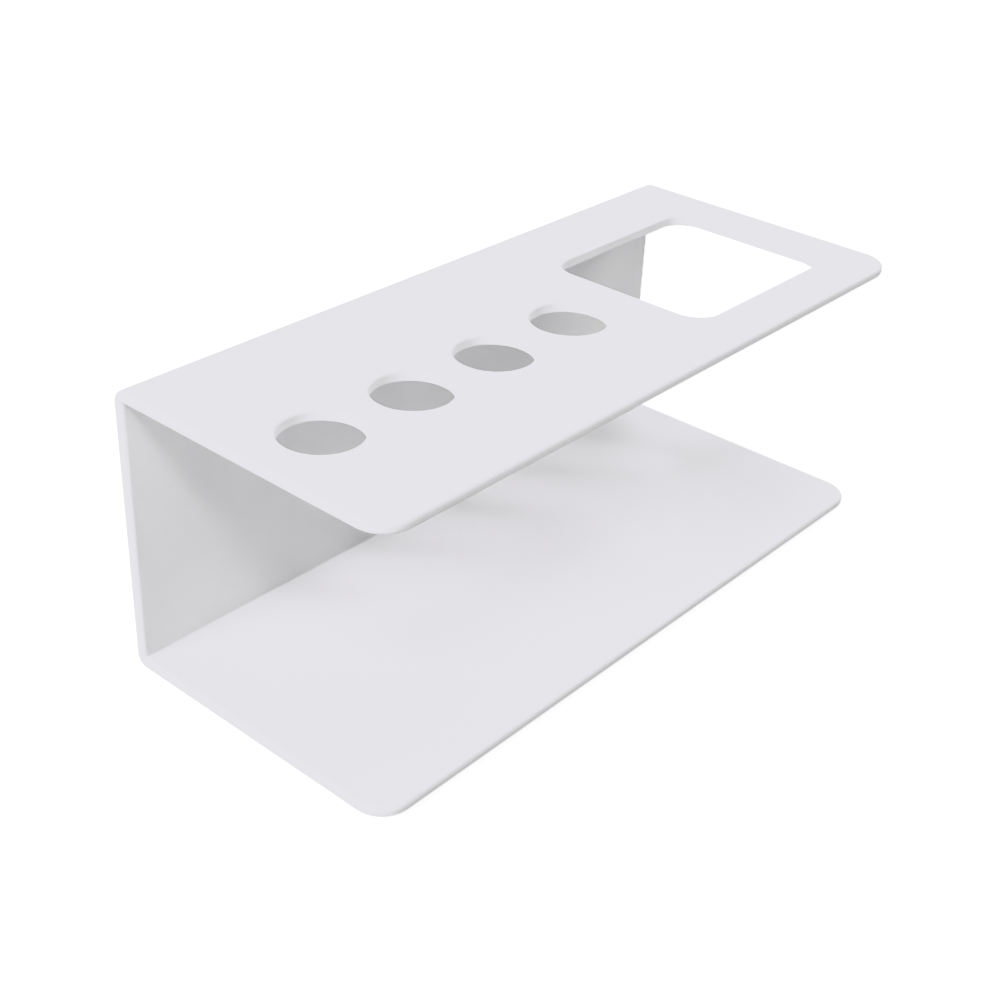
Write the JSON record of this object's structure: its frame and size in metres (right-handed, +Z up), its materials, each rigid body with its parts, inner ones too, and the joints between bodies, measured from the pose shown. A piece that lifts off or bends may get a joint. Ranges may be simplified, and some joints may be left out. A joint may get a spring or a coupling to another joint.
{
  "type": "airbrush holder stand",
  "caption": "C-shaped bench stand bent from white acrylic sheet: the top plate has a row of round holes that hold airbrushes upright and a rounded window for a bottle or pot.",
  "frame": {"origin": "on the table, under the middle of the stand's bounding box", "axes": "+X along the stand towards the window's end, +Y to the wall at the back, +Z up"},
  "size_m": [0.2, 0.0864, 0.0787],
  "materials": {
    "acrylic": "satin opaque white acrylic",
    "silicone": "milky translucent silicone"
  },
  "bodies": {
    "root": {"stand_body": "acrylic", "foot_front_left": "silicone", "foot_front_right": "silicone", "foot_back_left": "silicone", "foot_back_right": "silicone"}
  },
  "joints": []
}
